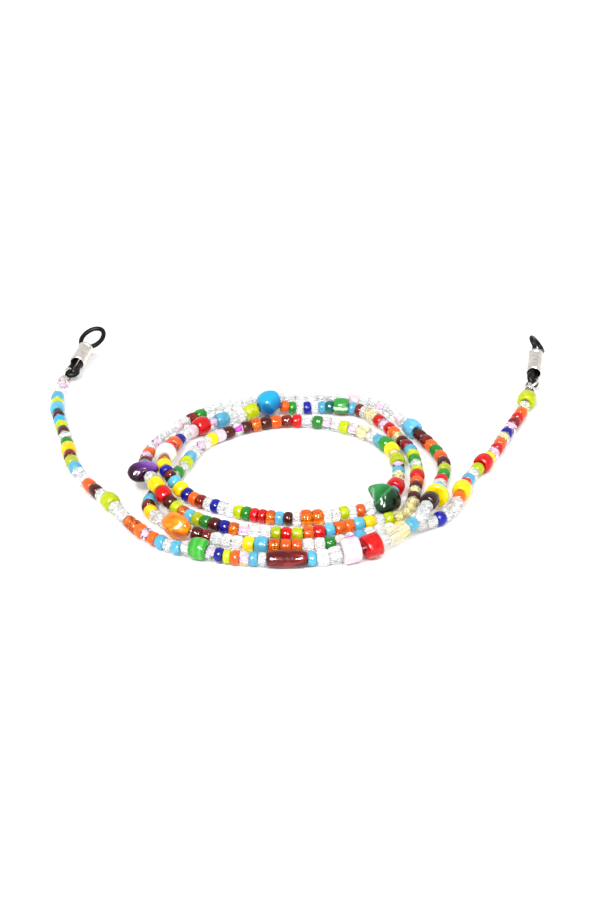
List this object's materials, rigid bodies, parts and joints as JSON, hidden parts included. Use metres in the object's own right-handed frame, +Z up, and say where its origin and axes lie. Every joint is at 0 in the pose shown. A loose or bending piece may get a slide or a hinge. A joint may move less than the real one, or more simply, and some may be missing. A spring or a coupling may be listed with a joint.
{
  "type": "eyeglasses chain",
  "caption": "Beaded eyeglasses chain: mixed glass beads on a stringing wire, laid in a loose coil, with a rubber temple loop, slide sleeve and ring at each end.",
  "frame": {"origin": "middle of the bounding box of the whole chain, on the surface that it lies on", "axes": "+X along the length from the left fitting to the right one, +Y from the front of the coil to the fittings, +Z up"},
  "size_m": [0.1192, 0.0988, 0.008],
  "materials": {
    "seed_glass": "gloss",
    "lime_glass": "gloss",
    "green_glass": "gloss",
    "garnet_glass": "gloss",
    "pink_glass": "pearl",
    "red_glass": "gloss",
    "brown_pearl": "pearl",
    "yellow_glass": "gloss",
    "sky_glass": "gloss",
    "purple_stone": "polished",
    "gold_glass": "metal lined",
    "blue_stone": "polished",
    "white_glass": "gloss",
    "green_stone": "polished",
    "orange_stone": "polished",
    "crystal_glass": "gloss",
    "rubber": "satin",
    "plated_metal": "polished",
    "wire": "gloss"
  },
  "bodies": {
    "strand": {"stringing_wire": "wire", "bead_run_01": "seed_glass", "bead_run_02": "seed_glass", "bead_run_03": "seed_glass", "bead_run_04": "seed_glass", "bead_run_05": "seed_glass", "bead_run_06": "seed_glass", "bead_run_07": "seed_glass", "bead_run_08": "seed_glass", "bead_run_09": "seed_glass", "bead_run_10": "seed_glass", "bead_run_11": "seed_glass", "bead_run_12": "seed_glass", "bead_run_13": "seed_glass", "bead_run_14": "seed_glass", "bead_run_15": "seed_glass", "bead_run_16": "seed_glass", "bead_run_17": "seed_glass", "bead_run_18": "seed_glass", "bead_run_19": "seed_glass", "bead_run_20": "seed_glass", "bead_run_21": "seed_glass", "bead_run_22": "seed_glass", "bead_run_23": "seed_glass", "bead_run_24": "seed_glass", "bead_run_25": "seed_glass", "bead_run_26": "seed_glass", "bead_run_27": "seed_glass", "garnet_oval": "garnet_glass", "crimp_tube_left": "plated_metal", "crimp_tube_right": "plated_metal"},
    "lime_round_left": {"lime_round_left": "lime_glass"},
    "green_round": {"green_round": "green_glass"},
    "pink_tube": {"pink_tube": "pink_glass"},
    "red_chunk": {"red_chunk": "red_glass"},
    "crystal_tube": {"crystal_tube": "crystal_glass"},
    "brown_pearl": {"brown_pearl": "brown_pearl"},
    "yellow_disc": {"yellow_disc": "yellow_glass"},
    "sky_round": {"sky_round": "sky_glass"},
    "purple_nugget": {"purple_nugget": "purple_stone"},
    "red_round_middle": {"red_round_middle": "red_glass"},
    "gold_crystal": {"gold_crystal": "gold_glass"},
    "green_striped": {"green_striped": "green_glass"},
    "blue_nugget": {"blue_nugget": "blue_stone"},
    "red_round_rear": {"red_round_rear": "red_glass"},
    "white_round": {"white_round": "white_glass"},
    "green_nugget": {"green_nugget": "green_stone"},
    "red_round_inner": {"red_round_inner": "red_glass"},
    "orange_nugget": {"orange_nugget": "orange_stone"},
    "yellow_round": {"yellow_round": "yellow_glass"},
    "red_round_right": {"red_round_right": "red_glass"},
    "lime_round_right": {"lime_round_right": "lime_glass"},
    "eye_ring_left": {"eye_ring_left": "plated_metal"},
    "temple_loop_left": {"temple_loop_left": "rubber"},
    "slide_sleeve_left": {"slide_sleeve_left": "plated_metal"},
    "eye_ring_right": {"eye_ring_right": "plated_metal"},
    "temple_loop_right": {"temple_loop_right": "rubber"},
    "slide_sleeve_right": {"slide_sleeve_right": "plated_metal"}
  },
  "joints": [
    {"name": "lime_round_left_spin", "type": "hinge", "parent": "strand", "child": "lime_round_left", "pos_m": [-0.0407, -0.02667, 0.002], "axis": [0.5543, -0.8323, -0.0087], "continuous": true},
    {"name": "green_round_spin", "type": "hinge", "parent": "strand", "child": "green_round", "pos_m": [-0.0211, -0.04477, 0.0023], "axis": [0.9521, -0.3055, -0.0098], "continuous": true},
    {"name": "pink_tube_spin", "type": "hinge", "parent": "strand", "child": "pink_tube", "pos_m": [0.0089, -0.04607, 0.0027], "axis": [0.9626, 0.2611, 0.0719], "continuous": true},
    {"name": "red_chunk_spin", "type": "hinge", "parent": "strand", "child": "red_chunk", "pos_m": [0.0131, -0.04447, 0.0027], "axis": [0.8661, 0.4954, 0.067], "continuous": true},
    {"name": "crystal_tube_spin", "type": "hinge", "parent": "strand", "child": "crystal_tube", "pos_m": [0.0184, -0.04077, 0.0034], "axis": [0.8151, 0.5564, 0.161], "continuous": true},
    {"name": "brown_pearl_spin", "type": "hinge", "parent": "strand", "child": "brown_pearl", "pos_m": [0.0255, -0.03067, 0.0046], "axis": [0.3961, 0.9091, -0.1288], "continuous": true},
    {"name": "yellow_disc_spin", "type": "hinge", "parent": "strand", "child": "yellow_disc", "pos_m": [0.0273, -0.02687, 0.0036], "axis": [0.2519, 0.943, -0.2175], "continuous": true},
    {"name": "sky_round_spin", "type": "hinge", "parent": "strand", "child": "sky_round", "pos_m": [0.0243, 0.00413, 0.0023], "axis": [-0.4458, 0.895, -0.0155], "continuous": true},
    {"name": "purple_nugget_spin", "type": "hinge", "parent": "strand", "child": "purple_nugget", "pos_m": [-0.0337, -0.01927, 0.005], "axis": [0.2726, -0.9568, 0.1014], "range_deg": [-30, 30]},
    {"name": "red_round_middle_spin", "type": "hinge", "parent": "strand", "child": "red_round_middle", "pos_m": [0.0241, -0.01607, 0.0017], "axis": [0.068, 0.9977, 0.0009], "continuous": true},
    {"name": "gold_crystal_spin", "type": "hinge", "parent": "strand", "child": "gold_crystal", "pos_m": [0.0155, 0.01073, 0.0019], "axis": [-0.6197, 0.7849, 0.001], "continuous": true},
    {"name": "green_striped_spin", "type": "hinge", "parent": "strand", "child": "green_striped", "pos_m": [0.0085, 0.01473, 0.0022], "axis": [-0.9888, 0.1482, -0.0145], "continuous": true},
    {"name": "blue_nugget_spin", "type": "hinge", "parent": "strand", "child": "blue_nugget", "pos_m": [-0.0083, 0.01413, 0.003], "axis": [-0.9641, -0.2648, -0.0216], "range_deg": [-30, 30]},
    {"name": "red_round_rear_spin", "type": "hinge", "parent": "strand", "child": "red_round_rear", "pos_m": [-0.0235, 0.00533, 0.0022], "axis": [-0.733, -0.6802, -0.0057], "continuous": true},
    {"name": "white_round_spin", "type": "hinge", "parent": "strand", "child": "white_round", "pos_m": [-0.0301, -0.01207, 0.0049], "axis": [-0.0444, -0.9928, 0.1113], "continuous": true},
    {"name": "green_nugget_spin", "type": "hinge", "parent": "strand", "child": "green_nugget", "pos_m": [0.0165, -0.02787, 0.003], "axis": [0.5973, 0.802, -0.007], "range_deg": [-15, 15]},
    {"name": "red_round_inner_spin", "type": "hinge", "parent": "strand", "child": "red_round_inner", "pos_m": [0.0191, -0.02107, 0.0021], "axis": [0.2646, 0.9603, -0.0877], "continuous": true},
    {"name": "orange_nugget_spin", "type": "hinge", "parent": "strand", "child": "orange_nugget", "pos_m": [-0.0261, -0.03747, 0.003], "axis": [0.8424, -0.5382, -0.0261], "range_deg": [-30, 30]},
    {"name": "yellow_round_spin", "type": "hinge", "parent": "strand", "child": "yellow_round", "pos_m": [0.0331, -0.02227, 0.0021], "axis": [0.3441, 0.9389, -0.0061], "continuous": true},
    {"name": "red_round_right_spin", "type": "hinge", "parent": "strand", "child": "red_round_right", "pos_m": [0.0388, -0.01107, 0.0021], "axis": [0.516, 0.8566, -0.0057], "continuous": true},
    {"name": "lime_round_right_spin", "type": "hinge", "parent": "strand", "child": "lime_round_right", "pos_m": [0.0521, 0.01773, 0.0023], "axis": [0.32, 0.9473, 0.0146], "continuous": true},
    {"name": "eye_ring_left_swing", "type": "hinge", "parent": "strand", "child": "eye_ring_left", "pos_m": [-0.0582, 0.02933, 0.00195], "axis": [-0.0233, -0.0787, 0.9966], "range_deg": [-60, 60]},
    {"name": "temple_loop_left_swing", "type": "hinge", "parent": "eye_ring_left", "child": "temple_loop_left", "pos_m": [-0.05656, 0.03219, 0.00221], "axis": [-0.0233, -0.0787, 0.9966], "range_deg": [-60, 60]},
    {"name": "slide_sleeve_left_slide", "type": "slide", "parent": "temple_loop_left", "child": "slide_sleeve_left", "axis": [0.2064, 0.9709, 0.1219], "range_m": [-0.0012, 0.0002]},
    {"name": "eye_ring_right_swing", "type": "hinge", "parent": "strand", "child": "eye_ring_right", "pos_m": [0.05387, 0.02426, 0.0024], "axis": [0.7891, -0.2643, 0.5545], "range_deg": [-60, 60]},
    {"name": "temple_loop_right_swing", "type": "hinge", "parent": "eye_ring_right", "child": "temple_loop_right", "pos_m": [0.05481, 0.02742, 0.00257], "axis": [0.7891, -0.2643, 0.5545], "range_deg": [-60, 60]},
    {"name": "slide_sleeve_right_slide", "type": "slide", "parent": "temple_loop_right", "child": "slide_sleeve_right", "axis": [0.1834, 0.9436, 0.2756], "range_m": [-0.0001, 0.0017]}
  ]
}
